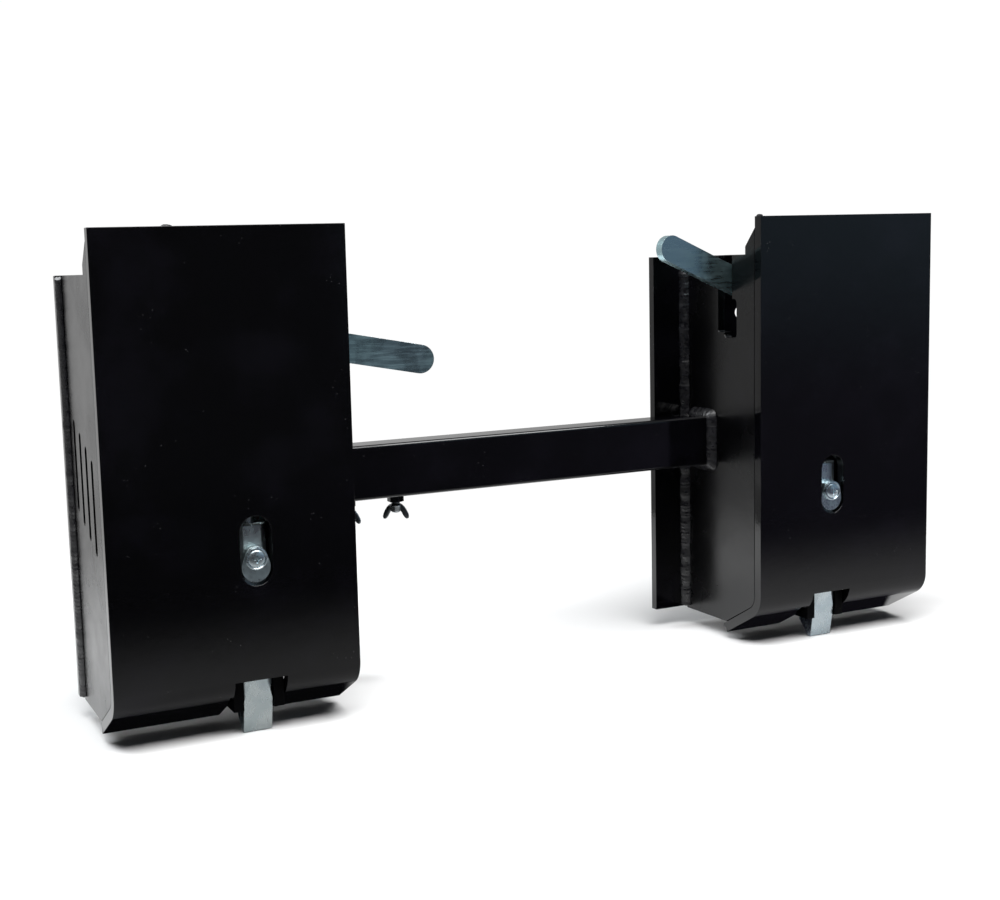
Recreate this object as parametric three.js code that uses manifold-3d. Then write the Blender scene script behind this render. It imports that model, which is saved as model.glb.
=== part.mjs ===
// Weld-on quick-attach latch boxes, a mirrored pair on a telescoping cross bar.
// Millimetres, +Z up. Each box is drawn in its own space: x runs from the outer edge of the face plate
// to its inner edge, y runs back from the front of the face plate, z runs up from the flange's tip.
// The right box is the mirror image of the left one.
import * as THREE from 'three';
import { mergeVertices } from 'three/addons/utils/BufferGeometryUtils.js';
import Module from 'manifold-3d';

const wasm = await Module();
wasm.setup();

// Driving dimensions of the pair
const OVERALL_WIDTH = 843;
const BOX_WIDTH = 211;
const FACE_HEIGHT = 415;
const GAP = 0.3;

// Face plate and its bent flange
const FACE_THICKNESS = 9.5;
const BEND_RADIUS = 25;
const BEND_ANGLE = Math.PI / 3;
const FLANGE_LENGTH = 48;
const FLANGE_SLOPE = Math.PI / 2 - BEND_ANGLE;
const BEND_CENTRE_Z = FLANGE_LENGTH * Math.sin(FLANGE_SLOPE) + BEND_RADIUS * Math.sin(BEND_ANGLE);
const NOTCH = { width: 45.5, top: 42 };
const SLOT = { halfWidth: 13.6, bottom: 121.5, top: 179.8 };

// Side walls and weld plate
const WALL_THICKNESS = 8;
const WALL = { rear: 123.2, top: 379, bottom: 10.8, stepY: 24.5, stepTop: 387, gussetTop: 404.5 };
const WELD_PLATE = { front: 123.5, rear: 131.5, bottom: 13, outerLip: 4.3, innerLip: 38.3 };
const WELD_LEG = 7;
const LEVER_SLOT = { front: 45, rear: 67, bottom: 303.7, topClear: 400 };
const LEVER_REST_POCKET = { front: 38, rear: 57.5, bottom: 298.5, top: 336, corner: 4 };
const WALL_SLOTS = { count: 4, firstY: 33, pitch: 22, halfWidth: 4, bottom: 158, length: 70, stagger: 9 };

// Wedge and what hangs on it
const WEDGE = { x: 123, width: 25, front: 10, rear: 35, top: 172, bottom: -6.5 };
const WEDGE_CHAMFER = { across: 4.7, deep: 2.6 };
const RAMP = { top: 36, bottomY: 17.5 };
const REAR_BEVEL = { top: 8, bottomY: 21 };
const WEDGE_AXIS_Y = (WEDGE.front + WEDGE.rear) / 2;
const STEM = { radius: 6, top: 262 };
const BOSS = { front: 2, lowRadius: 12.5, lowZ: 136.7, highRadius: 10 };
const SCREW = { z: 144, shankRadius: 5, headRadius: 8.7, headFront: -1, rear: 46 };
const SCREW_NUT = { front: 39.7, rear: 44.7, radius: 9.2 };

// Guide, spring and spring seat
const GUIDE = {
  bottom: 14, top: 112, side: 9, clearance: 0.6, front: 10.3, rear: 54, webFront: 35.8, webRear: 41.8,
};
const SPRING_SEAT = { bottom: 250, thickness: 6, halfWidth: 20, rear: 34.8, holeRadius: 6.8 };
const SPRING = { radius: 9.2, wire: 1.75, turns: 8 };

// Pivot, lift arm, lift plate and lever. The lift pin swings evenly above and below its pivot's height
// and slides in the lift plate's level slot, so the wedge rises in step with the lever.
const PIVOT = { x: 139, z: 326.5, studRadius: 8, studRear: 74 };
const SPACER = { radius: 13, rear: 40.1 };
const LEVER = { front: 45.6, thickness: 9.5, width: 25.4, length: 157, eyeRadius: 18 };
const LEVER_BEND = { start: 92, angle: 5.5 * Math.PI / 180 };
const BUSH = { outer: 11, clearance: 0.3 };
const LOCKED_ANGLE = -11 * Math.PI / 180;
const RAISED_ANGLE = 22.5 * Math.PI / 180;
const ARM = { front: 40.4, rear: 44.9, hubRadius: 16, lobeRadius: 9 };
const HALF_LIFT = Math.PI / 9;
const LIFT_PIN = { reach: 36.4, angle: -HALF_LIFT, radius: 4, front: 35.5, rear: ARM.rear };
const STOP_PIN = { reach: 34, angle: RAISED_ANGLE + Math.PI / 6, radius: 4, front: ARM.front, rear: 55 };
const LIFT_PLATE = { front: 35.3, rear: 39.3, endRadius: 10, slotRadius: LIFT_PIN.radius + GAP };
const PIVOT_WASHER = { front: 55.4, rear: 58.4, radius: 15 };
const PIVOT_NUT = { front: 58.8, rear: 70, radius: 13.9 };
const BOLT_CLEARANCE = 0.2;
const REAR_HOLE = { x: 142, z: 319, radius: 6.2 };

// Cross bar: outer tube on the right box, inner tube on the left box, two wing bolts
const OUTER_TUBE = { front: 77, depth: 30, bottom: 168.7, height: 50, wall: 3, corner: 3, left: -200 };
const TUBE_FIT = 0.4;
const INNER_TUBE_RIGHT = 190;
const WING_BOLT_X = [-182, -134];
const WELD_NUT = { radius: 7.8, height: 5.8 };
const WING_BOLT = { shaft: 3.9, hubRadius: 5, hubTop: 159.5, hubBottom: 153, span: 12.5, drop: 15.5 };

const ARC_SEGMENTS = 12;
const ROUND_SEGMENTS = 28;

const PAINT = { color: 0x0b0b0d, roughness: 0.25, metalness: 0.0 };
const PAINTED_WELD = { color: 0x1b1b1f, roughness: 0.45, metalness: 0.0 };
const ZINC = { color: 0xa9b6ba, roughness: 0.38, metalness: 1.0 };
const STEEL = { color: 0x6f7377, roughness: 0.45, metalness: 1.0 };

// ---- solids -------------------------------------------------------------------------------------

function signedVolume(geometry) {
  const p = geometry.attributes.position;
  const index = geometry.index;
  const [a, b, c] = [new THREE.Vector3(), new THREE.Vector3(), new THREE.Vector3()];
  let sum = 0;
  for (let i = 0; i < index.count; i += 3) {
    a.fromBufferAttribute(p, index.getX(i));
    b.fromBufferAttribute(p, index.getX(i + 1));
    c.fromBufferAttribute(p, index.getX(i + 2));
    sum += a.dot(b.cross(c));
  }
  return sum / 6;
}

function flipFaces(geometry) {
  const index = geometry.index;
  for (let i = 0; i < index.count; i += 3) {
    const second = index.getX(i + 1);
    index.setX(i + 1, index.getX(i + 2));
    index.setX(i + 2, second);
  }
  return geometry;
}

// One indexed skin with shared corners and faces that point out
function closed(geometry) {
  geometry.deleteAttribute('normal');
  geometry.deleteAttribute('uv');
  const merged = mergeVertices(geometry, 1e-4);
  return signedVolume(merged) < 0 ? flipFaces(merged) : merged;
}

function toManifold(geometry) {
  const skin = closed(geometry);
  return new wasm.Manifold(new wasm.Mesh({
    numProp: 3,
    vertProperties: new Float32Array(skin.attributes.position.array),
    triVerts: new Uint32Array(skin.index.array),
  }));
}

function fromManifold(manifold) {
  const mesh = manifold.getMesh();
  const geometry = new THREE.BufferGeometry();
  geometry.setAttribute('position', new THREE.BufferAttribute(new Float32Array(mesh.vertProperties), 3));
  geometry.setIndex(new THREE.BufferAttribute(new Uint32Array(mesh.triVerts), 1));
  return geometry;
}

function subtract(base, ...tools) {
  return fromManifold(tools.reduce((m, tool) => m.subtract(toManifold(tool)), toManifold(base)));
}

function join(base, ...others) {
  return fromManifold(others.reduce((m, other) => m.add(toManifold(other)), toManifold(base)));
}

function intersect(base, other) {
  return fromManifold(toManifold(base).intersect(toManifold(other)));
}

function mirrored(geometry) {
  return flipFaces(closed(geometry.clone().scale(-1, 1, 1)));
}

// ---- outlines and prisms ------------------------------------------------------------------------

const X_AXIS = new THREE.Vector3(1, 0, 0);
const Y_AXIS = new THREE.Vector3(0, 1, 0);
const Z_AXIS = new THREE.Vector3(0, 0, 1);

function extrude(shape, depth) {
  return new THREE.ExtrudeGeometry(shape, { depth, bevelEnabled: false, curveSegments: ARC_SEGMENTS });
}

// An outline in (y, z), drawn out along x
function prismX(shape, x0, x1) {
  const turn = new THREE.Matrix4().makeBasis(Y_AXIS, Z_AXIS, X_AXIS);
  return extrude(shape, x1 - x0).applyMatrix4(turn).translate(x0, 0, 0);
}

// An outline in (x, z), drawn out along y
function prismY(shape, y0, y1) {
  const turn = new THREE.Matrix4().makeBasis(X_AXIS, Z_AXIS, Y_AXIS.clone().negate());
  return extrude(shape, y1 - y0).applyMatrix4(turn).translate(0, y1, 0);
}

// An outline in (x, y), drawn out along z
function prismZ(shape, z0, z1) {
  return extrude(shape, z1 - z0).translate(0, 0, z0);
}

function box(x0, x1, y0, y1, z0, z1) {
  return new THREE.BoxGeometry(x1 - x0, y1 - y0, z1 - z0)
    .translate((x0 + x1) / 2, (y0 + y1) / 2, (z0 + z1) / 2);
}

function polygon(points) {
  return new THREE.Shape(points.map(([a, b]) => new THREE.Vector2(a, b)));
}

function roundedRectangle(a0, a1, b0, b1, r) {
  const shape = new THREE.Shape();
  shape.absarc(a1 - r, b0 + r, r, -Math.PI / 2, 0, false);
  shape.absarc(a1 - r, b1 - r, r, 0, Math.PI / 2, false);
  shape.absarc(a0 + r, b1 - r, r, Math.PI / 2, Math.PI, false);
  shape.absarc(a0 + r, b0 + r, r, Math.PI, 1.5 * Math.PI, false);
  return shape;
}

// The outline around two circles of different size, joined by their tangents
function taperedCapsule(a0, b0, r0, a1, b1, r1) {
  const along = Math.atan2(b1 - b0, a1 - a0);
  const spread = Math.acos((r0 - r1) / Math.hypot(a1 - a0, b1 - b0));
  const shape = new THREE.Shape();
  shape.absarc(a0, b0, r0, along + spread, along - spread + 2 * Math.PI, false);
  shape.absarc(a1, b1, r1, along - spread, along + spread, false);
  return shape;
}

function rodY(x, z, radius, y0, y1, segments = ROUND_SEGMENTS) {
  return new THREE.CylinderGeometry(radius, radius, y1 - y0, segments).translate(x, (y0 + y1) / 2, z);
}

function rodZ(x, y, radius, z0, z1, segments = ROUND_SEGMENTS) {
  return new THREE.CylinderGeometry(radius, radius, z1 - z0, segments)
    .rotateX(Math.PI / 2)
    .translate(x, y, (z0 + z1) / 2);
}

// A hexagonal nut lying along y, with flat sides left and right
function nutY(x, z, radius, holeRadius, y0, y1) {
  return subtract(rodY(x, z, radius, y0, y1, 6), rodY(x, z, holeRadius, y0 - 1, y1 + 1));
}

function polar(reach, angle) {
  return { x: PIVOT.x + reach * Math.cos(angle), z: PIVOT.z + reach * Math.sin(angle) };
}

// ---- plates of one box --------------------------------------------------------------------------

// Where a line at this depth behind the face plate's front leaves the bend
function bendEnd(depth) {
  const radius = BEND_RADIUS - depth;
  return [
    BEND_RADIUS - radius * Math.cos(BEND_ANGLE),
    BEND_CENTRE_Z - radius * Math.sin(BEND_ANGLE),
  ];
}

function flangeTip(depth) {
  const [y, z] = bendEnd(depth);
  return [y + FLANGE_LENGTH * Math.cos(FLANGE_SLOPE), z - FLANGE_LENGTH * Math.sin(FLANGE_SLOPE)];
}

function facePlate() {
  const outline = new THREE.Shape();
  outline.moveTo(FACE_THICKNESS, FACE_HEIGHT);
  outline.lineTo(0, FACE_HEIGHT);
  outline.absarc(BEND_RADIUS, BEND_CENTRE_Z, BEND_RADIUS, Math.PI, Math.PI + BEND_ANGLE, false);
  outline.lineTo(...flangeTip(0));
  outline.lineTo(...flangeTip(FACE_THICKNESS));
  const innerRadius = BEND_RADIUS - FACE_THICKNESS;
  outline.absarc(BEND_RADIUS, BEND_CENTRE_Z, innerRadius, Math.PI + BEND_ANGLE, Math.PI, true);
  const slot = taperedCapsule(
    WEDGE.x, SLOT.bottom + SLOT.halfWidth, SLOT.halfWidth,
    WEDGE.x, SLOT.top - SLOT.halfWidth, SLOT.halfWidth,
  );
  const notch = box(WEDGE.x - NOTCH.width / 2, WEDGE.x + NOTCH.width / 2, -5, 80, -20, NOTCH.top);
  return subtract(prismX(outline, 0, BOX_WIDTH), prismY(slot, -5, FACE_THICKNESS + 5), notch);
}

function wallOutline() {
  const depth = FACE_THICKNESS + GAP;
  const radius = BEND_RADIUS - depth;
  const [bendY, bendZ] = bendEnd(depth);
  const runDown = (bendZ - WALL.bottom) / Math.tan(FLANGE_SLOPE);
  const outline = new THREE.Shape();
  outline.moveTo(WALL.stepY, WALL.stepTop);
  outline.lineTo(depth, WALL.gussetTop);
  outline.absarc(BEND_RADIUS, BEND_CENTRE_Z, radius, Math.PI, Math.PI + BEND_ANGLE, false);
  outline.lineTo(bendY + runDown, WALL.bottom);
  outline.lineTo(WALL.rear, WALL.bottom);
  outline.lineTo(WALL.rear, WALL.top);
  outline.lineTo(WALL.stepY, WALL.top);
  return outline;
}

function outerWall() {
  const cuts = [];
  for (let i = 0; i < WALL_SLOTS.count; i += 1) {
    const y = WALL_SLOTS.firstY + i * WALL_SLOTS.pitch;
    const low = WALL_SLOTS.bottom + i * WALL_SLOTS.stagger;
    const slot = taperedCapsule(y, low, WALL_SLOTS.halfWidth, y, low + WALL_SLOTS.length, WALL_SLOTS.halfWidth);
    cuts.push(prismX(slot, -5, WALL_THICKNESS + 5));
  }
  return subtract(prismX(wallOutline(), 0, WALL_THICKNESS), ...cuts);
}

function innerWall() {
  const x0 = BOX_WIDTH - WALL_THICKNESS;
  const slot = roundedRectangle(LEVER_SLOT.front, LEVER_SLOT.rear, LEVER_SLOT.bottom, LEVER_SLOT.topClear, 2);
  const pocket = roundedRectangle(
    LEVER_REST_POCKET.front, LEVER_REST_POCKET.rear,
    LEVER_REST_POCKET.bottom, LEVER_REST_POCKET.top, LEVER_REST_POCKET.corner,
  );
  return subtract(
    prismX(wallOutline(), x0, BOX_WIDTH),
    prismX(slot, x0 - 5, BOX_WIDTH + 5),
    prismX(pocket, x0 - 5, BOX_WIDTH + 5),
  );
}

function weldPlate() {
  const plate = box(
    -WELD_PLATE.outerLip, BOX_WIDTH + WELD_PLATE.innerLip,
    WELD_PLATE.front, WELD_PLATE.rear, WELD_PLATE.bottom, WALL.top,
  );
  const hole = rodY(REAR_HOLE.x, REAR_HOLE.z, REAR_HOLE.radius, WELD_PLATE.front - 5, WELD_PLATE.rear + 5);
  return subtract(plate, hole);
}

// A fillet bead in the corner at (x, y), reaching out sideways and forwards
function filletBead(x, y, sideways, forwards, z0, z1) {
  const outline = new THREE.Shape();
  outline.moveTo(x, y);
  outline.lineTo(x + sideways, y);
  outline.quadraticCurveTo(x + 0.72 * sideways, y - 0.72 * forwards, x, y - forwards);
  return prismZ(outline, z0, z1);
}

function outerWeld() {
  const reach = GAP - WELD_PLATE.outerLip;
  return filletBead(-GAP, WELD_PLATE.front - GAP, reach, WELD_LEG, WELD_PLATE.bottom + 1, WALL.top - 1);
}

function innerWeld() {
  return filletBead(
    BOX_WIDTH + GAP, WELD_PLATE.front - GAP, WELD_LEG, WELD_LEG, WELD_PLATE.bottom + 1, WALL.top - 1,
  );
}

// ---- wedge, guide and spring --------------------------------------------------------------------

function wedgePin() {
  const half = WEDGE.width / 2;
  const { across, deep } = WEDGE_CHAMFER;
  const section = polygon([
    [WEDGE.x - half, WEDGE.rear], [WEDGE.x - half, WEDGE.front + deep],
    [WEDGE.x - half + across, WEDGE.front], [WEDGE.x + half - across, WEDGE.front],
    [WEDGE.x + half, WEDGE.front + deep], [WEDGE.x + half, WEDGE.rear],
  ]);
  const profile = polygon([
    [WEDGE.front, WEDGE.top - 2], [WEDGE.front, RAMP.top], [RAMP.bottomY, WEDGE.bottom],
    [REAR_BEVEL.bottomY, WEDGE.bottom], [WEDGE.rear, REAR_BEVEL.top],
    [WEDGE.rear, WEDGE.top - 2], [WEDGE.rear - 2, WEDGE.top], [WEDGE.front + 2, WEDGE.top],
  ]);
  const bar = intersect(
    prismZ(section, WEDGE.bottom - 1, WEDGE.top + 1),
    prismX(profile, WEDGE.x - WEDGE.width, WEDGE.x + WEDGE.width),
  );
  const stem = rodZ(WEDGE.x, WEDGE_AXIS_Y, STEM.radius, WEDGE.top - 3, STEM.top);
  const hole = rodY(WEDGE.x, SCREW.z, SCREW.shankRadius + BOLT_CLEARANCE, WEDGE.front - 5, WEDGE.rear + 5);
  return subtract(join(bar, stem), hole);
}

function wedgeBoss() {
  const outline = taperedCapsule(
    WEDGE.x, BOSS.lowZ, BOSS.lowRadius, WEDGE.x, SCREW.z, BOSS.highRadius,
  );
  const back = WEDGE.front - GAP;
  const hole = rodY(WEDGE.x, SCREW.z, SCREW.shankRadius + BOLT_CLEARANCE, BOSS.front - 5, back + 5);
  return subtract(prismY(outline, BOSS.front, back), hole);
}

function bossScrew() {
  const seat = BOSS.front - GAP;
  const profile = [
    [0, SCREW.headFront], [SCREW.headRadius - 2.4, SCREW.headFront], [SCREW.headRadius - 0.7, SCREW.headFront + 0.6],
    [SCREW.headRadius, SCREW.headFront + 1.6], [SCREW.headRadius, seat], [SCREW.shankRadius, seat],
    [SCREW.shankRadius, SCREW.rear - 1], [SCREW.shankRadius - 1, SCREW.rear], [0, SCREW.rear],
  ].map(([r, y]) => new THREE.Vector2(r, y));
  const body = new THREE.LatheGeometry(profile, ROUND_SEGMENTS).translate(WEDGE.x, 0, SCREW.z);
  const recess = [[4.4, 1.1], [1.1, 4.4]].map(([dx, dz]) => box(
    WEDGE.x - dx, WEDGE.x + dx, SCREW.headFront - 1, SCREW.headFront + 1.6, SCREW.z - dz, SCREW.z + dz,
  ));
  return subtract(body, ...recess);
}

function screwNut() {
  return nutY(WEDGE.x, SCREW.z, SCREW_NUT.radius, SCREW.shankRadius + BOLT_CLEARANCE, SCREW_NUT.front, SCREW_NUT.rear);
}

// A channel around the back of the wedge, welded to the back of the face plate. Its lower end shows
// in the face plate's notch.
function wedgeGuide() {
  const inner = WEDGE.width / 2 + GUIDE.clearance;
  const outer = inner + GUIDE.side;
  const section = polygon([
    [WEDGE.x - outer, GUIDE.front], [WEDGE.x - inner, GUIDE.front], [WEDGE.x - inner, GUIDE.webFront],
    [WEDGE.x + inner, GUIDE.webFront], [WEDGE.x + inner, GUIDE.front], [WEDGE.x + outer, GUIDE.front],
    [WEDGE.x + outer, GUIDE.rear], [WEDGE.x + inner, GUIDE.rear], [WEDGE.x + inner, GUIDE.webRear],
    [WEDGE.x - inner, GUIDE.webRear], [WEDGE.x - inner, GUIDE.rear], [WEDGE.x - outer, GUIDE.rear],
  ]);
  return prismZ(section, GUIDE.bottom, GUIDE.top);
}

function springSeat() {
  const { bottom, thickness, halfWidth, rear, holeRadius } = SPRING_SEAT;
  const shelf = box(
    WEDGE.x - halfWidth, WEDGE.x + halfWidth, FACE_THICKNESS + GAP, rear, bottom, bottom + thickness,
  );
  return subtract(shelf, rodZ(WEDGE.x, WEDGE_AXIS_Y, holeRadius, bottom - 5, bottom + thickness + 5));
}

class Helix extends THREE.Curve {
  constructor(radius, turns, z0, z1) {
    super();
    Object.assign(this, { radius, turns, z0, z1 });
  }

  getPoint(t, target = new THREE.Vector3()) {
    const angle = 2 * Math.PI * this.turns * t;
    return target.set(
      this.radius * Math.cos(angle), this.radius * Math.sin(angle), this.z0 + (this.z1 - this.z0) * t,
    );
  }
}

function spring() {
  const low = WEDGE.top + GAP + SPRING.wire;
  const high = SPRING_SEAT.bottom - GAP - SPRING.wire;
  const section = new THREE.Shape();
  section.absarc(0, 0, SPRING.wire, 0, 2 * Math.PI, false);
  const coil = new THREE.ExtrudeGeometry(section, {
    extrudePath: new Helix(SPRING.radius, SPRING.turns, low, high),
    steps: SPRING.turns * 14,
    curveSegments: 8,
    bevelEnabled: false,
  });
  return coil.translate(WEDGE.x, WEDGE_AXIS_Y, 0);
}

// ---- pivot, lift arm, lift plate and lever ------------------------------------------------------------

function tubeY(x, z, outer, inner, y0, y1) {
  return subtract(rodY(x, z, outer, y0, y1), rodY(x, z, inner, y0 - 1, y1 + 1));
}

function pivotStud() {
  return rodY(PIVOT.x, PIVOT.z, PIVOT.studRadius, FACE_THICKNESS + GAP, PIVOT.studRear);
}

function pivotPart(outer, front, rear) {
  return tubeY(PIVOT.x, PIVOT.z, outer, PIVOT.studRadius + BOLT_CLEARANCE, front, rear);
}

function pivotNut() {
  return nutY(PIVOT.x, PIVOT.z, PIVOT_NUT.radius, PIVOT.studRadius + BOLT_CLEARANCE, PIVOT_NUT.front, PIVOT_NUT.rear);
}

function liftArm() {
  const lobes = [LIFT_PIN, STOP_PIN].map(({ reach, angle }) => {
    const end = polar(reach, angle);
    const outline = taperedCapsule(PIVOT.x, PIVOT.z, ARM.hubRadius, end.x, end.z, ARM.lobeRadius);
    return prismY(outline, ARM.front, ARM.rear);
  });
  const holes = [
    rodY(PIVOT.x, PIVOT.z, PIVOT.studRadius + BOLT_CLEARANCE, ARM.front - 1, ARM.rear + 1),
    ...[LIFT_PIN, STOP_PIN].map(({ reach, angle, radius }) => {
      const end = polar(reach, angle);
      return rodY(end.x, end.z, radius + BOLT_CLEARANCE, ARM.front - 1, ARM.rear + 1);
    }),
  ];
  return subtract(join(...lobes), ...holes);
}

function armPin({ reach, angle, radius, front, rear }) {
  const end = polar(reach, angle);
  return rodY(end.x, end.z, radius, front, rear);
}

function liftPlate() {
  const { front, rear, endRadius, slotRadius } = LIFT_PLATE;
  const start = polar(LIFT_PIN.reach, LIFT_PIN.angle);
  const farthest = PIVOT.x + LIFT_PIN.reach;
  const middle = (start.x + farthest) / 2;
  const outline = taperedCapsule(WEDGE.x, SCREW.z, endRadius, middle, start.z, endRadius);
  const slot = taperedCapsule(start.x, start.z, slotRadius, farthest, start.z, slotRadius);
  return subtract(
    prismY(outline, front, rear),
    rodY(WEDGE.x, SCREW.z, SCREW.shankRadius + BOLT_CLEARANCE, front - 1, rear + 1),
    prismY(slot, front - 1, rear + 1),
  );
}

// The flat bar is drawn along x from its pivot, then turned up by the angle and moved to the pivot
function lever(angle) {
  const half = LEVER.width / 2;
  const eye = LEVER.eyeRadius;
  const meet = Math.asin(half / eye);
  const plan = new THREE.Shape();
  plan.absarc(LEVER.length, 0, half, Math.PI / 2, -Math.PI / 2, true);
  plan.absarc(0, 0, eye, -meet, meet - 2 * Math.PI, true);
  const rear = LEVER.front + LEVER.thickness;
  const reach = LEVER.length + LEVER.width;
  const forward = (reach - LEVER_BEND.start) * Math.tan(LEVER_BEND.angle);
  const side = polygon([
    [-2 * eye, LEVER.front], [LEVER_BEND.start, LEVER.front], [reach, LEVER.front - forward],
    [reach, rear - forward], [LEVER_BEND.start, rear], [-2 * eye, rear],
  ]);
  const bar = intersect(prismY(plan, LEVER.front - 2 * half, rear + half), prismZ(side, -2 * eye, 2 * eye));
  const hole = rodY(0, 0, BUSH.outer + BUSH.clearance, LEVER.front - 1, rear + 1);
  return subtract(bar, hole).rotateY(-angle).translate(PIVOT.x, 0, PIVOT.z);
}

// ---- cross bar ----------------------------------------------------------------------------------

function tube(x0, x1, inset, wall) {
  const { front, depth, bottom, height, corner } = OUTER_TUBE;
  const outline = (grow, radius) => roundedRectangle(
    front + inset + grow, front + depth - inset - grow,
    bottom + inset + grow, bottom + height - inset - grow, radius,
  );
  const shape = outline(0, corner);
  shape.holes.push(outline(wall, 1));
  return prismX(shape, x0, x1);
}

function outerTube() {
  const right = OVERALL_WIDTH / 2 - BOX_WIDTH - GAP;
  const axisY = OUTER_TUBE.front + OUTER_TUBE.depth / 2;
  const holes = WING_BOLT_X.map((x) => rodZ(
    x, axisY, WING_BOLT.shaft + 0.6, OUTER_TUBE.bottom - 2, OUTER_TUBE.bottom + OUTER_TUBE.wall + 1,
  ));
  return subtract(tube(OUTER_TUBE.left, right, 0, OUTER_TUBE.wall), ...holes);
}

function innerTube() {
  const left = BOX_WIDTH + GAP - OVERALL_WIDTH / 2;
  return tube(left, INNER_TUBE_RIGHT, OUTER_TUBE.wall + TUBE_FIT, OUTER_TUBE.wall);
}

// A bead all round the tube's end; away is -1 where the bead stands towards -x, 1 where towards +x
function barWeld(wallX, away, inset) {
  const { front, depth, bottom, height, corner } = OUTER_TUBE;
  const outline = (grow) => roundedRectangle(
    front + inset - grow, front + depth - inset + grow,
    bottom + inset - grow, bottom + height - inset + grow, corner,
  );
  const bevel = { depth: 0.2, bevelThickness: WELD_LEG, bevelSize: WELD_LEG, bevelSegments: 2, curveSegments: 3 };
  const turn = new THREE.Matrix4().makeBasis(Y_AXIS, Z_AXIS, X_AXIS);
  const lump = new THREE.ExtrudeGeometry(outline(0), bevel).applyMatrix4(turn).translate(wallX, 0, 0);
  const far = 3 * WELD_LEG;
  const side = away < 0 ? [-far, -GAP] : [GAP, far];
  const keep = box(
    wallX + side[0], wallX + side[1],
    front - far, front + depth + far, bottom - far, bottom + height + far,
  );
  const core = prismX(outline(GAP), wallX - 2 * far, wallX + 2 * far);
  return subtract(intersect(lump, keep), core);
}

function weldNut(x) {
  const axisY = OUTER_TUBE.front + OUTER_TUBE.depth / 2;
  const top = OUTER_TUBE.bottom - GAP;
  const bottom = top - WELD_NUT.height;
  return subtract(
    rodZ(x, axisY, WELD_NUT.radius, bottom, top, 6),
    rodZ(x, axisY, WING_BOLT.shaft + BOLT_CLEARANCE, bottom - 1, top + 1),
  );
}

function wingBolt(x) {
  const axisY = OUTER_TUBE.front + OUTER_TUBE.depth / 2;
  const tip = OUTER_TUBE.bottom + OUTER_TUBE.wall;
  const { shaft, hubRadius, hubTop, hubBottom, span, drop } = WING_BOLT;
  const wing = (side) => prismY(polygon([
    [x + side * 2, hubTop - 2], [x + side * 5.5, hubTop - 3.5], [x + side * (span - 1), hubTop - drop + 5],
    [x + side * span, hubTop - drop + 2.5], [x + side * (span - 3), hubTop - drop],
    [x + side * (span - 6), hubTop - drop + 1.5], [x + side * 2, hubBottom],
  ]), axisY - 1.5, axisY + 1.5);
  return join(
    rodZ(x, axisY, shaft, hubBottom + 1, tip - TUBE_FIT / 2, 20),
    rodZ(x, axisY, hubRadius, hubBottom, hubTop, 20),
    wing(-1),
    wing(1),
  );
}

// ---- assembly -----------------------------------------------------------------------------------

const assembly = new THREE.Group();

function add(name, geometry, look) {
  const mesh = new THREE.Mesh(closed(geometry), new THREE.MeshStandardMaterial(look));
  mesh.geometry.computeVertexNormals();
  mesh.name = name;
  assembly.add(mesh);
}

// Every part of one box, in the box's own space
function boxParts(leverAngle) {
  return [
    ['face_plate', facePlate(), PAINT],
    ['outer_side_wall', outerWall(), PAINT],
    ['inner_side_wall', innerWall(), PAINT],
    ['weld_plate', weldPlate(), PAINT],
    ['outer_weld_bead', outerWeld(), PAINTED_WELD],
    ['inner_weld_bead', innerWeld(), PAINTED_WELD],
    ['wedge_guide', wedgeGuide(), PAINT],
    ['spring_seat', springSeat(), PAINT],
    ['pivot_stud', pivotStud(), STEEL],
    ['pivot_spacer', pivotPart(SPACER.radius, FACE_THICKNESS + 2 * GAP, SPACER.rear), STEEL],
    ['pivot_washer', pivotPart(PIVOT_WASHER.radius, PIVOT_WASHER.front, PIVOT_WASHER.rear), ZINC],
    ['pivot_nut', pivotNut(), ZINC],
    ['wedge_pin', wedgePin(), ZINC],
    ['wedge_boss', wedgeBoss(), ZINC],
    ['boss_screw', bossScrew(), ZINC],
    ['boss_screw_nut', screwNut(), ZINC],
    ['return_spring', spring(), STEEL],
    ['lift_arm', liftArm(), ZINC],
    ['lift_pin', armPin(LIFT_PIN), STEEL],
    ['stop_pin', armPin(STOP_PIN), STEEL],
    ['lift_plate', liftPlate(), ZINC],
    ['lever', lever(leverAngle), ZINC],
    ['lever_bush', pivotPart(BUSH.outer, LEVER.front, LEVER.front + LEVER.thickness), STEEL],
  ];
}

const TO_OUTER_EDGE = -OVERALL_WIDTH / 2;
for (const [name, geometry, look] of boxParts(LOCKED_ANGLE)) {
  add(`left_${name}`, geometry.translate(TO_OUTER_EDGE, 0, 0), look);
}
for (const [name, geometry, look] of boxParts(RAISED_ANGLE)) {
  add(`right_${name}`, mirrored(geometry.translate(TO_OUTER_EDGE, 0, 0)), look);
}

const INNER_WALL_X = OVERALL_WIDTH / 2 - BOX_WIDTH;
add('outer_bar', outerTube(), PAINT);
add('inner_bar', innerTube(), PAINT);
add('outer_bar_weld', barWeld(INNER_WALL_X, -1, 0), PAINTED_WELD);
add('inner_bar_weld', barWeld(-INNER_WALL_X, 1, OUTER_TUBE.wall + TUBE_FIT), PAINTED_WELD);
WING_BOLT_X.forEach((x, i) => {
  add(`weld_nut_${i + 1}`, weldNut(x), PAINT);
  add(`wing_bolt_${i + 1}`, wingBolt(x), ZINC);
});

// The frame's origin is on the left weld plate's rear face, behind the wedge, at half the box's height
assembly.position.set(OVERALL_WIDTH / 2 - WEDGE.x, -WELD_PLATE.rear, -(WALL.top + WELD_PLATE.bottom) / 2);

export default assembly;
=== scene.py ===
"""Looks for the pair of weld-on quick-attach latch boxes: paint, zinc, welds, light and camera."""

import math

import bmesh
import bpy
from mathutils import Matrix, Vector, noise

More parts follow.
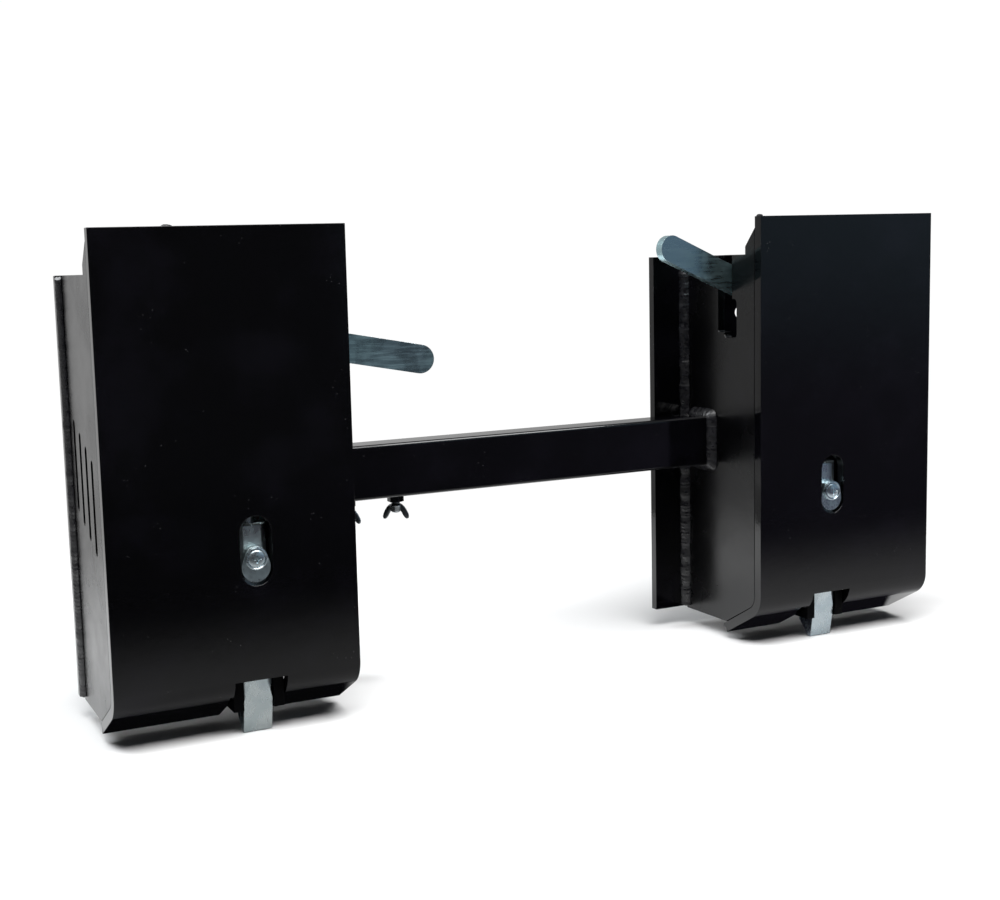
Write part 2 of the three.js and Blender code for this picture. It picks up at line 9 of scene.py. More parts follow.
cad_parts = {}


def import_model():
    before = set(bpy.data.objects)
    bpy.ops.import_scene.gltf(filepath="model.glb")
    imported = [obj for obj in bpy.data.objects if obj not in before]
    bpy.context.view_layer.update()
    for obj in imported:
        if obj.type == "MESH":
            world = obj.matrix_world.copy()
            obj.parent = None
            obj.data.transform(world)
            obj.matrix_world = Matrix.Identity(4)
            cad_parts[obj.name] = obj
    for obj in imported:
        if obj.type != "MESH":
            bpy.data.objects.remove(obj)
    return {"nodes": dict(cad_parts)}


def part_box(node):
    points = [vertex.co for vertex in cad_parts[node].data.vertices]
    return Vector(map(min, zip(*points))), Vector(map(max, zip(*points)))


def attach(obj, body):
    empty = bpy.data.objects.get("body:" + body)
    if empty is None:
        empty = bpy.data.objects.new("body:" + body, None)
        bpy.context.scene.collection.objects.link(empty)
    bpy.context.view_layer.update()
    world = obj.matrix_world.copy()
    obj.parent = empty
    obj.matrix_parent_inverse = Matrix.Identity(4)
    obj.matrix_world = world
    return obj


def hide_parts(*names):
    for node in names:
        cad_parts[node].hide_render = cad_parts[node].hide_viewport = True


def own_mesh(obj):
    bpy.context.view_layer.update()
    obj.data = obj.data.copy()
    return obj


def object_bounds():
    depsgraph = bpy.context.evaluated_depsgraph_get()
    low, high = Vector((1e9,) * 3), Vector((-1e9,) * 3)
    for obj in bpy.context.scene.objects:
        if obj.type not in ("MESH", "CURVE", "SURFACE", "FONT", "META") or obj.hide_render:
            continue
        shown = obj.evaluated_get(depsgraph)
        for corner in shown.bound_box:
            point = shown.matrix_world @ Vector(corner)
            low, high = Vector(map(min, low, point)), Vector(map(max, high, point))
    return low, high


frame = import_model()
NODES = frame["nodes"]
CAD_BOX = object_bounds()

MM = 0.001
SIDES = ("left", "right")
ALONG_Z = Vector((0, 0, 1))


# ---- node trees ---------------------------------------------------------------------------------

class Nodes:
    """A node tree, with short calls for the nodes used here."""

    def __init__(self, tree):
        self.tree = tree

    def new(self, kind):
        return self.tree.nodes.new(kind)

    def feed(self, node, inputs):
        """Sets a node's inputs; a value that is another node's output is linked."""
        for name, value in inputs.items():
            socket = node.inputs[name]
            if isinstance(value, bpy.types.NodeSocket):
                self.tree.links.new(value, socket)
            elif socket.type == "RGBA":
                socket.default_value = (*value, 1.0)
            else:
                socket.default_value = value
        return node

    def remap(self, value, low, high, to_low=0.0, to_high=1.0):
        """A smooth step from one range to another."""
        node = self.new("ShaderNodeMapRange")
        node.interpolation_type = "SMOOTHSTEP"
        self.feed(node, {
            "Value": value, "From Min": low, "From Max": high, "To Min": to_low, "To Max": to_high,
        })
        return node.outputs["Result"]

    def math(self, operation, a, b=0.0):
        node = self.new("ShaderNodeMath")
        node.operation = operation
        return self.feed(node, {0: a, 1: b}).outputs["Value"]

    def times(self, a, b):
        return self.math("MULTIPLY", a, b)

    def plus(self, a, b):
        return self.math("ADD", a, b)

    def minus(self, a, b):
        return self.math("SUBTRACT", a, b)

    def mix(self, amount, a, b):
        """Colour a where the amount is 0 and colour b where it is 1."""
        node = self.new("ShaderNodeMix")
        node.data_type = "RGBA"
        return self.feed(node, {"Factor": amount, "A": a, "B": b}).outputs["Result"]

    def mix_numbers(self, amount, a, b):
        return self.plus(a, self.times(amount, self.minus(b, a)))

    def mix_shaders(self, amount, a, b):
        return self.feed(self.new("ShaderNodeMixShader"), {0: amount, 1: a, 2: b}).outputs[0]

    def split(self, vector):
        """A vector's x, y and z."""
        node = self.feed(self.new("ShaderNodeSeparateXYZ"), {"Vector": vector})
        return node.outputs["X"], node.outputs["Y"], node.outputs["Z"]


class Shader(Nodes):
    """A material with one Principled shader, its noises read in object space."""

    def __init__(self, name):
        self.material = bpy.data.materials.new(name)
        self.material.use_nodes = True
        super().__init__(self.material.node_tree)
        self.main = self.tree.nodes["Principled BSDF"]
        self.position = self.new("ShaderNodeTexCoord").outputs["Object"]

    def set(self, inputs):
        self.feed(self.main, inputs)

    def stretched(self, scale):
        node = self.feed(self.new("ShaderNodeMapping"), {"Vector": self.position, "Scale": scale})
        return node.outputs["Vector"]

    def noise(self, scale, detail=3.0, roughness=0.5, vector=None, distortion=0.0):
        node = self.feed(self.new("ShaderNodeTexNoise"), {
            "Vector": vector or self.position, "Scale": scale, "Detail": detail,
            "Roughness": roughness, "Distortion": distortion,
        })
        return node.outputs["Fac"]

    def cells(self, scale):
        node = self.new("ShaderNodeTexVoronoi")
        return self.feed(node, {"Vector": self.position, "Scale": scale}).outputs["Distance"]

    def edges(self, radius, low, high):
        """1 along sharp edges and 0 on flat faces."""
        soft = self.new("ShaderNodeBevel")
        soft.samples = 6
        self.feed(soft, {"Radius": radius})
        dot = self.new("ShaderNodeVectorMath")
        dot.operation = "DOT_PRODUCT"
        true = self.new("ShaderNodeNewGeometry")
        self.feed(dot, {0: soft.outputs["Normal"], 1: true.outputs["Normal"]})
        return self.remap(dot.outputs["Value"], high, low)

    def bump(self, height, distance):
        node = self.feed(self.new("ShaderNodeBump"), {"Height": height, "Distance": distance})
        self.set({"Normal": node.outputs["Normal"]})


# ---- materials ----------------------------------------------------------------------------------

PAINT_IOR = 1.5


def black_paint(name, rough_low, rough_high, shine):
    """Black paint with faint blotches, rare dust specks, and edges lightened partly by paint wear
    and partly as a painted highlight.
    """
    s = Shader(name)
    blotch = s.remap(s.noise(14.0, 4.0, 0.6), 0.45, 0.7)
    colour = s.mix(blotch, (0.0005, 0.0005, 0.0007), (0.0016, 0.0015, 0.0024))
    speck = s.remap(s.cells(260.0), 0.13, 0.05)
    rare = s.remap(s.noise(45.0, 2.0), 0.60, 0.66)
    colour = s.mix(s.times(speck, rare), colour, (0.05, 0.05, 0.052))
    # Lighter edges: partly paint wear, partly a painted highlight on the edges.
    edge = s.edges(0.8 * MM, 0.90, 0.985)
    wear_and_highlight = s.times(edge, s.remap(s.noise(70.0, 3.0), 0.5, 0.7))
    s.bump(s.plus(s.noise(420.0, 2.0), s.times(s.noise(60.0, 2.0), 2.0)), 0.03 * MM)
    s.set({
        "Base Color": s.mix(wear_and_highlight, colour, (0.016, 0.016, 0.017)),
        "Roughness": s.remap(s.noise(22.0, 4.0, 0.6), 0.3, 0.75, rough_low, rough_high),
        "IOR": PAINT_IOR,
        "Specular IOR Level": shine,
    })
    return s.material


def weld_paint():
    """Black paint over a rough weld."""
    s = Shader("painted_weld")
    tone = s.remap(s.noise(160.0, 3.0), 0.4, 0.7)
    s.bump(s.noise(520.0, 3.0, 0.6), 0.25 * MM)
    s.set({
        "Base Color": s.mix(tone, (0.002, 0.002, 0.003), (0.008, 0.008, 0.010)),
        "Roughness": s.remap(s.noise(240.0, 3.0), 0.3, 0.7, 0.20, 0.45),
        "IOR": PAINT_IOR,
    })
    return s.material


def zinc(name, light, dark, rough_low, rough_high, grain):
    """Clouded zinc plate with a fine grain and rubbed edges."""
    s = Shader(name)
    cloud = s.remap(s.noise(34.0, 4.0, 0.6, distortion=0.6), 0.34, 0.68)
    streak = s.noise(1.0, 3.0, 0.6, s.stretched(grain))
    tint = s.remap(s.noise(11.0, 2.0), 0.45, 0.62, 0.0, 0.35)
    colour = s.mix(tint, s.mix(cloud, dark, light), (0.46, 0.60, 0.70))
    rubbed = s.times(s.edges(0.6 * MM, 0.90, 0.985), 0.5)
    rough = s.remap(cloud, 0.0, 1.0, rough_high, rough_low)
    s.bump(s.plus(streak, s.times(s.noise(700.0, 2.0), 0.6)), 0.009 * MM)
    s.set({
        "Base Color": s.mix(rubbed, colour, (0.86, 0.88, 0.88)),
        "Roughness": s.plus(rough, s.remap(streak, 0.3, 0.7, -0.05, 0.06)),
        "Metallic": 1.0,
    })
    return s.material


def bare_steel():
    """Dull turned steel."""
    s = Shader("bare_steel")
    tone = s.remap(s.noise(60.0, 4.0), 0.35, 0.7)
    s.bump(s.noise(1.0, 3.0, 0.6, s.stretched((60.0, 60.0, 900.0))), 0.05 * MM)
    s.set({
        "Base Color": s.mix(tone, (0.20, 0.20, 0.21), (0.42, 0.42, 0.43)),
        "Roughness": s.remap(s.noise(90.0, 3.0), 0.3, 0.7, 0.3, 0.48),
        "Metallic": 1.0,
    })
    return s.material


BAR_GRAIN = (40.0, 40.0, 500.0)
WEDGE_GRAIN = (300.0, 300.0, 60.0)
EVEN_GRAIN = (300.0, 300.0, 300.0)

PAINT = black_paint("gloss_black_paint", 0.05, 0.11, 0.5)
WALL_PAINT = black_paint("gloss_black_wall", 0.21, 0.29, 0.5)
INNER_PAINT = black_paint("dull_black_inside", 0.45, 0.60, 0.06)
WELD = weld_paint()
ZINC_BAR = zinc("zinc_lever", (0.50, 0.73, 0.77), (0.44, 0.66, 0.70), 0.25, 0.34, BAR_GRAIN)
ZINC_CAST = zinc("zinc_wedge", (0.86, 0.94, 0.94), (0.74, 0.84, 0.85), 0.22, 0.33, WEDGE_GRAIN)
ZINC_BOSS = zinc("zinc_boss", (0.62, 0.72, 0.73), (0.52, 0.62, 0.64), 0.24, 0.36, EVEN_GRAIN)
ZINC_SCREW = zinc("zinc_screw", (0.72, 0.80, 0.83), (0.58, 0.68, 0.72), 0.18, 0.30, EVEN_GRAIN)
ZINC_WING = zinc("zinc_wing_bolt", (0.34, 0.36, 0.37), (0.10, 0.11, 0.12), 0.22, 0.36, EVEN_GRAIN)
STEEL = bare_steel()


# ---- finish of the CAD nodes --------------------------------------------------------------------

SHARP_ANGLE = math.radians(34)


def edge_shading():
    """Geometry nodes that drop the imported normals and keep only steep edges sharp."""
    group = bpy.data.node_groups.new("edge_shading", "GeometryNodeTree")
    group.interface.new_socket("Geometry", in_out="INPUT", socket_type="NodeSocketGeometry")
    group.interface.new_socket("Geometry", in_out="OUTPUT", socket_type="NodeSocketGeometry")
    g = Nodes(group)
    start = g.new("NodeGroupInput")
    drop = g.new("GeometryNodeRemoveAttribute")
    g.feed(drop, {"Geometry": start.outputs["Geometry"], "Name": "custom_normal"})
    faces = g.new("GeometryNodeSetShadeSmooth")
    g.feed(faces, {"Geometry": drop.outputs["Geometry"]})
    steep = g.new("FunctionNodeCompare")
    steep.operation = "GREATER_THAN"
    angle = g.new("GeometryNodeInputMeshEdgeAngle")
    g.feed(steep, {"A": angle.outputs["Unsigned Angle"], "B": SHARP_ANGLE})
    edges = g.new("GeometryNodeSetShadeSmooth")
    edges.domain = "EDGE"
    g.feed(edges, {
        "Geometry": faces.outputs["Geometry"], "Selection": steep.outputs["Result"],
        "Shade Smooth": False,
    })
    g.feed(g.new("NodeGroupOutput"), {"Geometry": edges.outputs["Geometry"]})
    return group


EDGE_SHADING = edge_shading()


def shade_by_edges(obj):
    shade = obj.modifiers.new("shade", "NODES")
    shade.node_group = EDGE_SHADING
    even = obj.modifiers.new("even", "WEIGHTED_NORMAL")
    even.keep_sharp = True


def finish_node(name, material, bevel, sharpest=38):
    """Gives a CAD node its material and rounds its edges by bevel mm.

    Only the edges that turn by more than sharpest degrees are rounded.
    """
    node = NODES[name]
    node.data.materials.clear()
    node.data.materials.append(material)
    weld = node.modifiers.new("weld", "WELD")
    weld.merge_threshold = 0.002 * MM
    flat = node.modifiers.new("flat", "DECIMATE")
    flat.decimate_type = "DISSOLVE"
    flat.angle_limit = math.radians(0.6)
    round_off = node.modifiers.new("round_off", "BEVEL")
    round_off.width = bevel * MM
    round_off.segments = 3
    round_off.limit_method = "ANGLE"
    round_off.angle_limit = math.radians(sharpest)
    round_off.use_clamp_overlap = True
    shade_by_edges(node)


BOX_FINISHES = {
    "face_plate": (PAINT, 0.9),
    "outer_side_wall": (WALL_PAINT, 0.5),
    "inner_side_wall": (WALL_PAINT, 0.7),
    "weld_plate": (PAINT, 0.9),
    "wedge_guide": (INNER_PAINT, 0.5),
    "spring_seat": (INNER_PAINT, 0.5),
    "pivot_stud": (STEEL, 0.6),
    "pivot_spacer": (STEEL, 0.4),
    "pivot_washer": (ZINC_SCREW, 0.3),
    "pivot_nut": (ZINC_SCREW, 0.5),
    "wedge_pin": (ZINC_CAST, 1.4, 20),
    "wedge_boss": (ZINC_BOSS, 1.5),
    "boss_screw": (ZINC_SCREW, 0.3),
    "boss_screw_nut": (ZINC_SCREW, 0.4),
    "lift_arm": (ZINC_BAR, 0.4),
    "lift_pin": (STEEL, 0.4),
    "stop_pin": (STEEL, 0.4),
    "lift_plate": (ZINC_BAR, 0.4),
    "lever": (ZINC_BAR, 1.3),
    "lever_bush": (STEEL, 0.3),
}
BAR_BEVELS = {"outer_bar": 0.4, "inner_bar": 0.4, "weld_nut_1": 1.8, "weld_nut_2": 1.8}

for side in SIDES:
    for part, finish in BOX_FINISHES.items():
        finish_node(f"{side}_{part}", *finish)
for name, bevel in BAR_BEVELS.items():
    finish_node(name, PAINT, bevel)


# ---- meshes -------------------------------------------------------------------------------------

def piece(name, rings, material, body, stands_for=(), loop=False):
    """A closed skin through rings of points; a looped one joins its last ring to its first."""
    count = len(rings[0])
    points = [tuple(p) for ring in rings for p in ring]
    faces = []
    for i in range(len(rings) - (0 if loop else 1)):
        here, there = i * count, (i + 1) % len(rings) * count
        for j in range(count):
            k = (j + 1) % count
            faces.append((here + j, here + k, there + k, there + j))
    if not loop:
        faces.append(tuple(reversed(range(count))))
        faces.append(tuple(range(len(points) - count, len(points))))
    mesh = bpy.data.meshes.new(name)
    mesh.from_pydata(points, [], faces)
    mesh.validate()
    mesh.materials.append(material)
    obj = bpy.data.objects.new(name, mesh)
    bpy.context.scene.collection.objects.link(obj)
    face_outward(mesh)
    shade_by_edges(obj)
    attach(obj, body)
    if stands_for:
        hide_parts(*stands_for)
    return obj


def face_outward(mesh):
    bm = bmesh.new()
    bm.from_mesh(mesh)
    bmesh.ops.recalc_face_normals(bm, faces=bm.faces)
    bm.to_mesh(mesh)
    bm.free()


def turn(count):
    """The angles of count even steps round a circle."""
    return [2 * math.pi * k / count for k in range(count)]


# ---- weld beads ---------------------------------------------------------------------------------

BEAD_ARC = 9
BEAD_STEP = 0.8 * MM
RIPPLE_PITCH = 3.6 * MM
BAR_LEG = 7.2 * MM
BAR_CORNER = 3 * MM
CORNER_STEPS = 8


def bead_ring(root, leg_a, leg_b, swell):
    """A fillet's section: the root, then a crowned line from one leg's end to the other's."""
    ring = [root]
    for i in range(BEAD_ARC + 1):
        t = math.pi / 2 * i / BEAD_ARC
        ring.append(root + swell * (leg_a * math.cos(t) ** 1.45 + leg_b * math.sin(t) ** 1.45))
    return ring


def ripple(s, seed):
    """The bead's swell at a distance along it: overlapping scallops and slow lumps."""
    phase = (s / RIPPLE_PITCH + 0.35 * noise.noise((s * 90, seed, 0.0))) % 1.0
    scallop = 0.045 * (1.0 - (1.0 - phase) ** 2) - 0.02
    lump = 0.16 * noise.noise((s * 120, seed, 3.1)) + 0.10 * noise.noise((s * 35, seed, 7.7))
    return 1.0 + scallop + lump


def straight_bead(side, which, seed):
    """The vertical bead between a side wall and the weld plate."""
    name = f"{side}_{which}_weld_bead"
    low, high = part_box(name)
    towards_wall = (which == "outer") == (side == "left")
    x_root, x_free = (high.x, low.x) if towards_wall else (low.x, high.x)
    height = high.z - low.z
    count = int(height / BEAD_STEP)
    rings = []
    for i in range(count + 1):
        s = i * height / count
        ends = min(1.0, 0.55 + s / (4 * MM), 0.55 + (height - s) / (4 * MM))
        root = Vector((x_root, high.y, low.z + s))
        wander = 1.0 + 0.10 * noise.noise((s * 60, seed, 11.0))
        across = Vector((x_free - x_root, 0, 0)) * wander
        along = Vector((0, low.y - high.y, 0))
        ring = bead_ring(root, across, along, ripple(s, seed) * ends)
        if 0 < i < count:
            ring = [ring[0]] + sagging(ring[1:])
        rings.append(ring)
    piece(f"{name}_rippled", rings, WELD, f"{side}_box", [name])


def sagging(points):
    """A bead's outer line, its middle hanging lower than its ends."""
    return [
        p + Vector((0, 0, -1.3 * MM * math.sin(math.pi * j / BEAD_ARC)))
        for j, p in enumerate(points)
    ]


def tube_outline(low, high):
    """Points and outward directions round a tube's section, with rounded corners."""
    r = BAR_CORNER
    corners = (
        (high.y - r, low.z + r, -90), (high.y - r, high.z - r, 0),
        (low.y + r, high.z - r, 90), (low.y + r, low.z + r, 180),
    )
    line = []
    for y, z, start in corners:
        for k in range(CORNER_STEPS + 1):
            a = math.radians(start + k * 90 / CORNER_STEPS)
            c, s = math.cos(a), math.sin(a)
            line.append((Vector((0, y + r * c, z + r * s)), Vector((0, c, s))))
    return line


def bar_bead(name, bar, body, seed):
    """The bead all round the end of a cross bar's tube, on the side wall it is welded to."""
    low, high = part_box(name)
    away = -1 if name.startswith("outer") else 1
    wall_x = high.x if away < 0 else low.x
    line = tube_outline(*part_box(bar))
    path = []
    for (p, n), (q, m) in zip(line, line[1:] + line[:1]):
        steps = max(1, round((q - p).length / BEAD_STEP))
        for k in range(steps):
            t = k / steps
            path.append((p.lerp(q, t), n.lerp(m, t).normalized()))
    rings, s = [], 0.0
    for i, (p, n) in enumerate(path):
        s += (p - path[i - 1][0]).length if i else 0.0
        corner = 1.0 + 0.16 * (1 - abs(abs(n.y) - abs(n.z)))
        root = Vector((wall_x, p.y, p.z)) - n * 0.2 * MM
        over_wall, over_tube = n * BAR_LEG * corner, Vector((away * BAR_LEG, 0, 0))
        rings.append(bead_ring(root, over_wall, over_tube, ripple(s, seed)))
    piece(f"{name}_rippled", rings, WELD, body, [name], loop=True)


for number, side in enumerate(SIDES):
    straight_bead(side, "outer", 2.0 + number)
    straight_bead(side, "inner", 5.0 + number)
bar_bead("outer_bar_weld", "outer_bar", "right_box", 13.0)
bar_bead("inner_bar_weld", "inner_bar", "left_box", 17.0)


# ---- springs ------------------------------------------------------------------------------------

WIRE = 1.75 * MM
COIL_TURNS = 8
STEPS_PER_TURN = 36


def spring(side):
    """A coil of wire with evenly spaced turns, filling the CAD spring's box."""
    name = f"{side}_return_spring"
    low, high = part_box(name)
    centre = (low + high) / 2
    radius = (high.x - low.x) / 2 - WIRE
    bottom, top = low.z + WIRE, high.z - WIRE
    total = COIL_TURNS * STEPS_PER_TURN
    rings = []
    for i in range(total + 1):
        t = i / total
        a = 2 * math.pi * COIL_TURNS * t
        out = Vector((math.cos(a), math.sin(a), 0))
        middle = Vector((centre.x, centre.y, bottom + (top - bottom) * t)) + out * radius
        rings.append([
            middle + WIRE * (out * math.cos(b) + ALONG_Z * math.sin(b)) for b in turn(12)
        ])
    coil = piece(f"{name}_coil", rings, STEEL, f"{side}_box", [name])
    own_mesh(coil)


for side in SIDES:
    spring(side)


# ---- boss screws --------------------------------------------------------------------------------

# Radius and depth in mm, from the dome's middle to the shank's end
HEAD_PROFILE = (
    (0.0, -1.5), (2.0, -1.45), (3.6, -1.3), (5.2, -1.0), (6.5, -0.55), (7.1, -0.15), (7.35, 0.5),
    (7.6, 0.5), (7.8, -0.35), (8.1, -0.6), (8.7, -0.6), (9.2, -0.35), (9.4, 0.1), (9.4, 1.6),
    (5.0, 1.65), (5.0, 45.0), (4.2, 46.0), (0.0, 46.0),
)
# Depth 0 lies this far behind the CAD screw's front
DEPTH_ZERO = 1.0 * MM
DOME_STEPS = 5
RECESS_DEPTH = 1.9


def boss_screw(side):
    """A round-headed screw with a rim, a groove and a four-lobed recess."""
    name = f"{side}_boss_screw"
    low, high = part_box(name)
    middle_x, middle_z = (low.x + high.x) / 2, (low.z + high.z) / 2
    front = low.y + DEPTH_ZERO
    fine = []
    for (r0, y0), (r1, y1) in zip(HEAD_PROFILE, HEAD_PROFILE[1:]):
        steps = DOME_STEPS if r1 < 7 and y1 < 0 else 1
        fine += [(r0 + (r1 - r0) * k / steps, y0 + (y1 - y0) * k / steps) for k in range(steps)]
    rings = []
    for r, y in fine[1:] + [HEAD_PROFILE[-2]]:
        ring = []
        for a in turn(72):
            reach = 1.5 + 2.2 * abs(math.cos(2 * a)) ** 5
            in_recess = max(0.0, min(1.0, (reach - r) / 0.35)) if y < 0 else 0.0
            x, z = middle_x + r * MM * math.cos(a), middle_z + r * MM * math.sin(a)
            ring.append(Vector((x, front + (y + RECESS_DEPTH * in_recess) * MM, z)))
        rings.append(ring)
    piece(f"{name}_turned", rings, ZINC_SCREW, f"{side}_wedge_group", [name])


for side in SIDES:
    boss_screw(side)


# ---- wing bolts ---------------------------------------------------------------------------------

# Radius and height in mm, from the screw's top to the hub's domed end
HUB_PROFILE = (
    (3.2, 0.0), (3.9, -0.8), (3.9, -10.6), (4.6, -11.2), (5.9, -11.9), (6.1, -12.7), (5.6, -13.4),
    (5.2, -15.5), (4.6, -17.6), (3.4, -18.9), (1.8, -19.4),
)
# Distance out, height, half width and half thickness in mm, from the hub to the wing's tip
WING_SPINE = (
    (2.4, -13.4, 2.4, 1.8), (4.4, -13.9, 2.7, 1.7), (6.2, -15.7, 2.7, 1.5), (7.9, -18.5, 2.7, 1.4),
    (9.3, -21.4, 2.6, 1.4), (10.3, -23.6, 2.1, 1.3), (10.9, -25.0, 1.0, 0.8),
)
WING_TURN = math.radians(30)


def soft_square(a):
    """A point on a square with very round corners, at an angle."""
    c, s = math.cos(a), math.sin(a)
    return math.copysign(abs(c) ** 0.7, c), math.copysign(abs(s) ** 0.7, s)


def wing_rings(x, y, top, away, flat):
    """Sections of one wing, which leaves the hub in the away direction and droops."""
    rings = []
    for i, (out, down, half, thick) in enumerate(WING_SPINE):
        before, after = WING_SPINE[max(i - 1, 0)], WING_SPINE[min(i + 1, len(WING_SPINE) - 1)]
        along = (away * (after[0] - before[0]) + ALONG_Z * (after[1] - before[1])).normalized()
        across = flat.cross(along)
        centre = Vector((x, y, top + down * MM)) + away * (out * MM)
        rings.append([
            centre + across * (wide * half * MM) + flat * (deep * thick * MM)
            for wide, deep in map(soft_square, turn(16))
        ])
    return rings


def wing_bolt(number):
    """A screw with a domed hub and two drooping wings under the cross bar."""
    name = f"wing_bolt_{number}"
    body = f"{name}_group"
    low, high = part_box(name)
    x, y, top = (low.x + high.x) / 2, (low.y + high.y) / 2, high.z
    rings = [
        [Vector((x + r * MM * math.cos(a), y + r * MM * math.sin(a), top + z * MM))
         for a in turn(28)]
        for r, z in HUB_PROFILE
    ]
    piece(f"{name}_hub", rings, ZINC_WING, body, [name])
    flat = Vector((math.sin(WING_TURN), math.cos(WING_TURN), 0))
    right = Vector((math.cos(WING_TURN), -math.sin(WING_TURN), 0))
    for end, away in (("left", -right), ("right", right)):
        rings = wing_rings(x, y, top, away, flat)
        piece(f"{name}_wing_{end}", rings, ZINC_WING, body, [name])


for number in (1, 2):
    wing_bolt(number)


# ---- weld drops ---------------------------------------------------------------------------------

def drop(name, centre, size, body):
    """A small paint-covered lump of weld."""
    rings = []
    for i in range(1, 8):
        up = math.pi * i / 8
        ring = []
        for a in turn(16):
            way = Vector((math.sin(up) * math.cos(a), math.sin(up) * math.sin(a), math.cos(up)))
            bulge = 1.0 + 0.18 * noise.noise(way * 1.7 + centre * 900)
            ring.append(centre + Vector([w * s * MM * bulge for w, s in zip(way, size)]))
        rings.append(ring)
    piece(name, rings, WELD, body)


def drop_on_top(side, from_left, size):
    """A drop on a face plate's top edge, from_left mm from the plate's left corner."""
    low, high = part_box(f"{side}_face_plate")
    centre = Vector((low.x + from_left * MM, low.y + 5 * MM, high.z))
    drop(f"{side}_edge_drop", centre, size, f"{side}_box")


drop_on_top("left", 63, (4.2, 3.2, 1.5))
drop_on_top("right", 2.4, (2.4, 4.0, 2.0))


# ---- world --------------------------------------------------------------------------------------

WHITE_BACKDROP = 1.02
ROOM_LIGHT = 0.15


def world():
    """Reflections see a grey room behind the object and a dark one in front of it.

    To the right in front there is a pale blue haze above the floor. The camera sees a white
    backdrop, and the room's own light is dim.
    """
    made = bpy.data.worlds.new("studio")
    bpy.context.scene.world = made
    made.use_nodes = True
    made.node_tree.nodes.clear()
    w = Nodes(made.node_tree)
    x, y, z = w.split(w.new("ShaderNodeTexCoord").outputs["Generated"])
    dark = w.mix(w.remap(x, 0.30, 0.62), (0.045, 0.046, 0.052), (0.078, 0.074, 0.105))
    hazy = w.times(w.remap(x, 0.36, 0.41), w.remap(z, -0.11, 0.03))
    front = w.mix(hazy, dark, (0.18, 0.245, 0.31))
    back = w.mix(w.remap(y, 0.72, 0.98), (0.31, 0.31, 0.31), (0.68, 0.68, 0.68))
    path = w.new("ShaderNodeLightPath")
    room = w.feed(w.new("ShaderNodeBackground"), {
        "Color": w.mix(w.remap(y, -0.15, 0.45), front, back),
        "Strength": w.remap(path.outputs["Is Glossy Ray"], 0.0, 1.0, ROOM_LIGHT, 1.0),
    })
    white = w.feed(w.new("ShaderNodeBackground"), {"Color": (WHITE_BACKDROP,) * 3})
    shown = w.mix_shaders(path.outputs["Is Camera Ray"], room.outputs[0], white.outputs[0])
    w.feed(w.new("ShaderNodeOutputWorld"), {"Surface": shown})


# ---- floor --------------------------------------------------------------------------------------

FLOOR_HALF_SIZE = 6.0
FLOOR_GAP = 0.5 * MM


def reflected_brightness(s, x, y):
    """How lit the floor looks in reflections, a painted brightness, then masks for the painted
    shadow under the boxes and for behind them.
    """
    low, high = CAD_BOX
    depth = s.minus(y, low.y)
    aside = s.math("ABSOLUTE", s.minus(x, (low.x + high.x) / 2))
    near = s.remap(depth, -0.56, -0.12)
    front = s.times(s.times(near, near), s.remap(x, -0.10, 0.55, 0.25, 0.40))
    in_box = s.times(s.remap(aside, 0.185, 0.205), s.remap(aside, 0.422, 0.430, 1.0, 0.0))
    under = s.times(s.remap(depth, 0.028, 0.042), in_box)
    behind = s.remap(depth, 0.15, 0.30)
    lit_behind = s.times(behind, s.remap(x, -0.58, -0.26, 1.0, 0.2))
    beside = s.times(s.remap(depth, -0.02, 0.05), s.minus(1.0, in_box))
    lit = s.math("MAXIMUM", s.times(front, s.minus(1.0, under)), lit_behind)
    return s.math("MAXIMUM", lit, beside), under, behind


def floor_material(centre):
    s = Shader("pale_floor")
    tone = s.remap(s.noise(3.0, 2.0), 0.3, 0.7)
    s.set({
        "Base Color": s.mix(tone, (0.86, 0.86, 0.86), (0.88, 0.88, 0.88)),
        "Roughness": 0.7,
    })
    path = s.new("ShaderNodeLightPath")
    glossy, seen = path.outputs["Is Glossy Ray"], path.outputs["Is Camera Ray"]
    from_centre = s.feed(s.new("ShaderNodeMapping"), {"Vector": s.position, "Location": -centre})
    length = s.new("ShaderNodeVectorMath")
    length.operation = "LENGTH"
    s.feed(length, {0: from_centre.outputs["Vector"]})
    distance = length.outputs["Value"]
    x, y, _ = s.split(s.position)
    lit, under, behind = reflected_brightness(s, x, y)
    # Painted shadow and painted reflection: glossy rays see this dim glow instead of the lit
    # floor, dimmer under the boxes and bluer to the right.
    shadow = s.feed(s.new("ShaderNodeEmission"), {
        "Color": s.mix(s.remap(x, 0.1, 1.0), (0.030, 0.031, 0.035), (0.070, 0.066, 0.095)),
        "Strength": s.remap(under, 0.0, 1.0, 1.0, 0.15),
    })
    dark = s.times(s.minus(1.0, lit), glossy)
    shaded = s.mix_shaders(dark, s.main.outputs["BSDF"], shadow.outputs["Emission"])
    far = s.mix_numbers(behind, s.remap(distance, 1.0, 1.7), s.remap(distance, 0.30, 1.15))
    faded = s.plus(s.times(far, glossy), s.times(s.remap(distance, 0.50, 1.00), seen))
    clear = s.new("ShaderNodeBsdfTransparent").outputs["BSDF"]
    s.feed(s.tree.nodes["Material Output"], {"Surface": s.mix_shaders(faded, shaded, clear)})
    return s.material


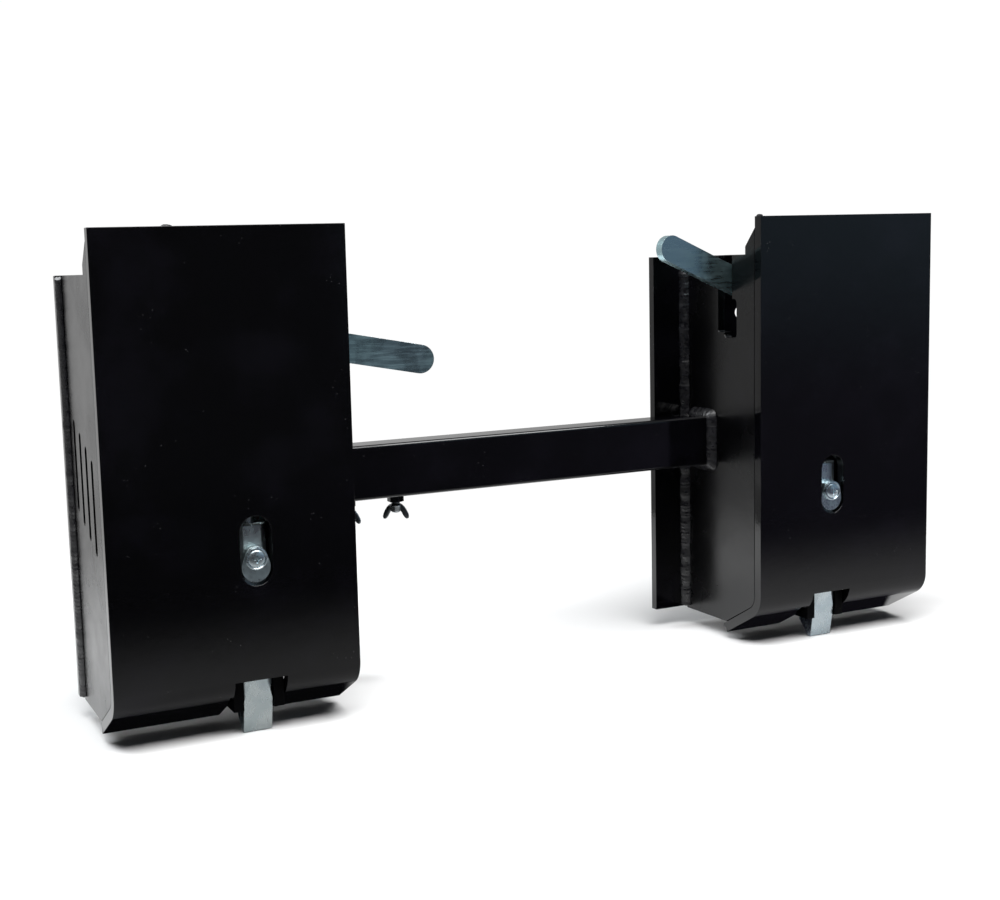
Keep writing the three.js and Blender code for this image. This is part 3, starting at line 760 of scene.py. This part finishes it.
def floor():
    """A pale floor that fades out; reflections only see the part of it near the object."""
    low, high = CAD_BOX
    centre = Vector(((low.x + high.x) / 2, (low.y + high.y) / 2, low.z - FLOOR_GAP))
    corners = [
        tuple(centre + FLOOR_HALF_SIZE * Vector((a, b, 0)))
        for a, b in ((-1, -1), (1, -1), (1, 1), (-1, 1))
    ]
    mesh = bpy.data.meshes.new("floor")
    mesh.from_pydata(corners, [], [(0, 1, 2, 3)])
    mesh.materials.append(floor_material(centre))
    obj = bpy.data.objects.new("floor", mesh)
    bpy.context.scene.collection.objects.link(obj)


# ---- lights and camera --------------------------------------------------------------------------

def area_light(name, position, target, size, watts, colour):
    data = bpy.data.lights.new(name, "AREA")
    data.shape = "RECTANGLE"
    data.size, data.size_y = size
    data.energy = watts
    data.color = colour
    obj = bpy.data.objects.new(name, data)
    bpy.context.scene.collection.objects.link(obj)
    obj.location = position
    way = Vector(target) - Vector(position)
    obj.rotation_euler = way.to_track_quat("-Z", "Y").to_euler()


CAMERA_PLACE = Vector((-0.33926, -1.21783, 0.186))
CAMERA_YAW = math.radians(24.24)
CAMERA_PITCH = math.radians(7.05)
CAMERA_ROLL = math.radians(-1.70)


def camera():
    level = Vector((math.cos(CAMERA_YAW), -math.sin(CAMERA_YAW), 0))
    ahead = Vector((math.sin(CAMERA_YAW), math.cos(CAMERA_YAW), 0))
    forward = ahead * math.cos(CAMERA_PITCH) - ALONG_Z * math.sin(CAMERA_PITCH)
    upright = level.cross(forward)
    right = math.cos(CAMERA_ROLL) * level + math.sin(CAMERA_ROLL) * upright
    up = math.cos(CAMERA_ROLL) * upright - math.sin(CAMERA_ROLL) * level
    data = bpy.data.cameras.new("camera")
    data.sensor_width = 36
    data.lens = 50.57
    data.shift_x = 0.08
    data.shift_y = -0.015
    data.clip_start = 0.01
    obj = bpy.data.objects.new("camera", data)
    bpy.context.scene.collection.objects.link(obj)
    facing = Matrix((right, up, -forward)).transposed().to_4x4()
    obj.matrix_world = Matrix.Translation(CAMERA_PLACE) @ facing
    bpy.context.scene.camera = obj


world()
floor()
area_light("overhead", (0.3, -0.80, 1.65), (0.3, -0.15, 0.0), (2.4, 1.3), 85, (1.0, 1.0, 1.0))
area_light("back_left", (-0.9, 0.7, 1.3), (-0.3, 0.3, 0.0), (1.0, 1.0), 24, (0.95, 0.98, 1.0))
camera()
bpy.context.scene.view_settings.view_transform = "Standard"
